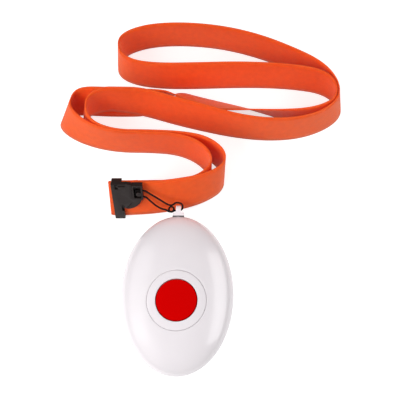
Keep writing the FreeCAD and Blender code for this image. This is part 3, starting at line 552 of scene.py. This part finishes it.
def finish_mesh(bm, name, corner=35):
    """Merges doubles, turns faces outwards, and shades all but the corners smooth."""
    bmesh.ops.remove_doubles(bm, verts=bm.verts, dist=MM / 1000)
    bmesh.ops.recalc_face_normals(bm, faces=bm.faces)
    mesh = bpy.data.meshes.new(name)
    bm.to_mesh(mesh)
    bm.free()
    mesh.shade_smooth()
    mesh.set_sharp_from_angle(angle=math.radians(corner))
    return mesh


LIP = 0.3 * MM
DOME_ROWS = 44


def front_shell():
    bm = bmesh.new()
    first = row = first_row(bm, recess_point(RECESS, SEAT))
    row = next_row(bm, row, recess_point(RECESS, drop=LIP))
    row = next_row(bm, row, recess_point(RECESS + 0.3 * LIP, drop=0.3 * LIP))
    row = next_row(bm, row, recess_point(RECESS + LIP))
    for i in range(1, DOME_ROWS + 1):
        row = next_row(bm, row, dome_point(math.sin(math.pi / 2 * i / DOME_ROWS) * 0.9996, RECESS + LIP))
    row = next_row(bm, row, dome_point(1, RECESS, -LIP))
    row = next_row(bm, row, dome_point(1, RECESS, -WALL))
    for i in range(DOME_ROWS // 2 - 1, -1, -1):
        row = next_row(bm, row, dome_point(math.sin(math.pi * i / DOME_ROWS), BOSS, -WALL))
    row = next_row(bm, row, recess_point(BOSS, LEDGE_LOW))
    row = next_row(bm, row, recess_point(SKIRT_HOLE, LEDGE_LOW))
    row = next_row(bm, row, recess_point(SKIRT_HOLE, SEAT))
    bmesh.ops.bridge_loops(bm, edges=first + row)
    return finish_mesh(bm, "front shell")


shell = link("domed_front_shell", front_shell(), case_finish)
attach(shell, "pendant")
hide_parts("front_shell")
print("front shell faces:", len(shell.data.polygons))

# %% [markdown]
# The trim ring and the button are turned pieces, so each is one outline, spun round the
# button's axis. The ring's face isn't level, though: it goes on with the curve of the dome, a
# hair above it. So the ring is spun with a level face, which is then bent to the dome.

# %% The trim ring and the button
def rounded(corner_x, corner_z, radius, start, steps=5):
    """Points of a quarter round about a centre, from a starting angle, in degrees."""
    turns = [math.radians(start - 90 * i / steps) for i in range(steps + 1)]
    return [(corner_x + radius * math.cos(turn), corner_z + radius * math.sin(turn)) for turn in turns]


def spun(outline):
    """A bmesh of an outline of (radius, height), in millimetres, turned about the button's axis."""
    bm = bmesh.new()
    verts = [bm.verts.new((radius * MM, BUTTON_Y, height * MM)) for radius, height in outline]
    edges = [bm.edges.new(pair) for pair in zip(verts, verts[1:])]
    if outline[0][0] > 0:
        edges.append(bm.edges.new((verts[-1], verts[0])))
    bmesh.ops.spin(bm, geom=verts + edges, cent=(0, BUTTON_Y, 0), axis=(0, 0, 1), angle=math.tau,
                   steps=AROUND, use_merge=True, use_duplicate=False)
    return bm


RING_LEVEL = 20.0
RING_STEP = 0.15 * MM
RING_BORE = 8.72
RING_RADIUS = 12.3


def trim_ring():
    outline = [(RING_BORE, 11.6), (RING_BORE, RING_LEVEL - 0.3)]
    outline += rounded(RING_BORE + 0.3, RING_LEVEL - 0.3, 0.3, 180)
    outline += [(RING_BORE + (RING_RADIUS - RING_BORE) * i / 8, RING_LEVEL) for i in range(2, 7)]
    outline += rounded(RING_RADIUS - 0.35, RING_LEVEL - 0.35, 0.35, 90)
    outline += [(RING_RADIUS, 14.5), (10.4, 14.5), (10.4, 11.6)]
    bm = spun(outline)
    for vertex in bm.verts:
        if vertex.co.z > (RING_LEVEL - 1) * MM:
            vertex.co.z += dome_height(vertex.co.x, vertex.co.y, RING_STEP) - RING_LEVEL * MM
    return finish_mesh(bm, "trim ring")


def red_button():
    outline = [(0, 16.05), (8.42 - 0.25, 16.05)]
    outline += rounded(8.42 - 0.25, 16.05 - 0.25, 0.25, 90)[1:]
    outline += [(8.42, 11.3), (9.9, 11.3), (9.9, 10.6), (7.22, 10.6), (7.22, 14.55), (1.75, 14.55),
                (1.75, 11.6), (0, 11.6)]
    return finish_mesh(spun(outline), "red button")


ring = link("turned_trim_ring", trim_ring(), ring_finish)
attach(ring, "pendant")
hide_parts("trim_ring")
button = link("turned_red_button", red_button(), red_finish)
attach(button, "button")
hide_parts("red_button")
print("ring and button faces:", len(ring.data.polygons), len(button.data.polygons))

# %% [markdown]
# The back shell, the lug and the buckle are moulded pieces whose shape is all in the frame
# already. Each gets a copy of its loose triangles, joined at their corners and cleared of the
# edges inside flat faces, and all but the back shell then get the soft edges that every mould
# leaves. The two ends of the buckle's frame are rounder than the rest, so their edges are found
# by how far they lie along the leaning frame, and are rounded first.

# %% Moulded copies
BUCKLE_LEAN = math.radians(26)
END_NEAR = 0.05 * MM


def round_ends(bm, across, radius):
    """Rounds the edges of the faces that end a piece at both sides along a direction."""
    level = {vertex: vertex.co.dot(across) for vertex in bm.verts}
    low, high = min(level.values()), max(level.values())
    ends = [edge for edge in bm.edges if all(level[vertex] < low + END_NEAR for vertex in edge.verts)
            or all(level[vertex] > high - END_NEAR for vertex in edge.verts)]
    bmesh.ops.bevel(bm, geom=ends, offset=radius, segments=5, profile=0.5, affect="EDGES", material=-1)
    print("rounded end edges:", len(ends))


def moulded_copy(node, finish, body, edge, corner=35, ends=None):
    """A joined copy of a CAD node, with its sharp edges rounded."""
    bm = bmesh.new()
    bm.from_mesh(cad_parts[node].data)
    bmesh.ops.remove_doubles(bm, verts=bm.verts, dist=MM / 1000)
    bmesh.ops.dissolve_limit(bm, angle_limit=math.radians(0.5), verts=bm.verts, edges=bm.edges)
    if ends:
        round_ends(bm, *ends)
    mesh = bpy.data.meshes.new(node)
    bm.to_mesh(mesh)
    bm.free()
    mesh.shade_smooth()
    mesh.set_sharp_from_angle(angle=math.radians(corner))
    piece = link("soft_" + node, mesh, finish)
    if edge:
        soft = piece.modifiers.new("soft edges", "BEVEL")
        soft.width = edge
        soft.segments = 3
        soft.limit_method = "ANGLE"
        soft.angle_limit = math.radians(corner)
        soft.harden_normals = True
    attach(piece, body)
    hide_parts(node)
    print(node, "faces:", len(mesh.polygons))
    return piece


moulded_copy("back_shell", case_finish, "pendant", 0)
lug = moulded_copy("strap_lug", lug_finish, "pendant", 0.25 * MM)
insert = moulded_copy("buckle_insert", buckle_finish, "pendant", 0.15 * MM)
across_buckle = Vector((0, math.sin(BUCKLE_LEAN), math.cos(BUCKLE_LEAN)))
buckle = moulded_copy("buckle_body", buckle_finish, "lanyard", 0.2 * MM,
                      ends=(across_buckle, 0.35 * MM))

# %% [markdown]
# The light is a plain studio: a dim white world, a key lamp at the front left, a soft lamp from
# above, a wide low lamp on the left for the pale side of the pendant, and a long lamp on the
# right whose reflection is the bright band along the pendant. The key and the lamp above would
# show as spots on the glossy dome, so they are hidden from reflections. Lamps are aimed by
# turning their -Z axis at a target. Their size across is the lamp's width, and narrow is its
# height turned round when it differs.

# %% Light
def lamp(name, place, target, size, watts, narrow=None):
    data = bpy.data.lights.new(name, "AREA")
    data.shape = "RECTANGLE"
    data.size = narrow or size
    data.size_y = size
    data.energy = watts
    light = bpy.data.objects.new(name, data)
    light.location = place
    light.rotation_euler = (Vector(target) - Vector(place)).to_track_quat("-Z", "Y").to_euler()
    bpy.context.scene.collection.objects.link(light)
    return light


def studio_world():
    world = bpy.data.worlds.new("studio")
    world.use_nodes = True
    tree = world.node_tree
    plain = tree.nodes["Background"]
    plain.inputs["Color"].default_value = (1, 1, 1, 1)
    plain.inputs["Strength"].default_value = 0.2
    return world


bpy.context.scene.world = studio_world()
key = lamp("key_lamp", (-0.3, -0.17, 0.3), (0.02, 0.08, 0.01), 0.3, 1.6)
key.visible_glossy = False
top = lamp("top_lamp", (0.0, 0.1, 0.5), (0.02, 0.1, 0.0), 0.4, 0.15)
top.visible_glossy = False
lamp("left_lamp", (-0.32, 0.07, 0.29), (0, 0.02, 0.01), 0.25, 0.35, narrow=0.5)
lamp("band_lamp", (0.3, 0.03, 0.22), (0.0, 0.0, 0.01), 0.22, 0.75, narrow=0.45)

# %% [markdown]
# The floor keeps the shadows of the object. It glows only for the camera, for reflections and
# for light that passes through, so that it looks white and yet throws no light on the object.

# %% Floor
def floor():
    bm = bmesh.new()
    bmesh.ops.create_grid(bm, x_segments=1, y_segments=1, size=3.0)
    mesh = bpy.data.meshes.new("floor")
    bm.to_mesh(mesh)
    bm.free()
    finish = Finish("floor_white", (0.6, 0.6, 0.6), 0.9)
    path = finish.tree.nodes.new("ShaderNodeLightPath")
    seen = Wire(finish, path.outputs["Is Camera Ray"]) + Wire(finish, path.outputs["Is Glossy Ray"])
    seen = seen + Wire(finish, path.outputs["Is Transmission Ray"])
    finish.vary(Emission_Color=finish.tint(seen, (0.0, 0.0, 0.0), (1.0, 1.0, 1.0)))
    finish.shader.inputs["Emission Strength"].default_value = 0.7
    return link("floor", mesh, finish.material)


floor()

# %% Colours as written
bpy.context.scene.view_settings.view_transform = "Standard"

# %% [markdown]
# The ribbon and the string are soft. Here the place where each begins and the string's length
# are worked out once more, and nothing takes them up.

# %% Soft pieces and sizes
tuple(middle_line[0])
tuple(string_line[0])
round(line_length(string_line), 4)
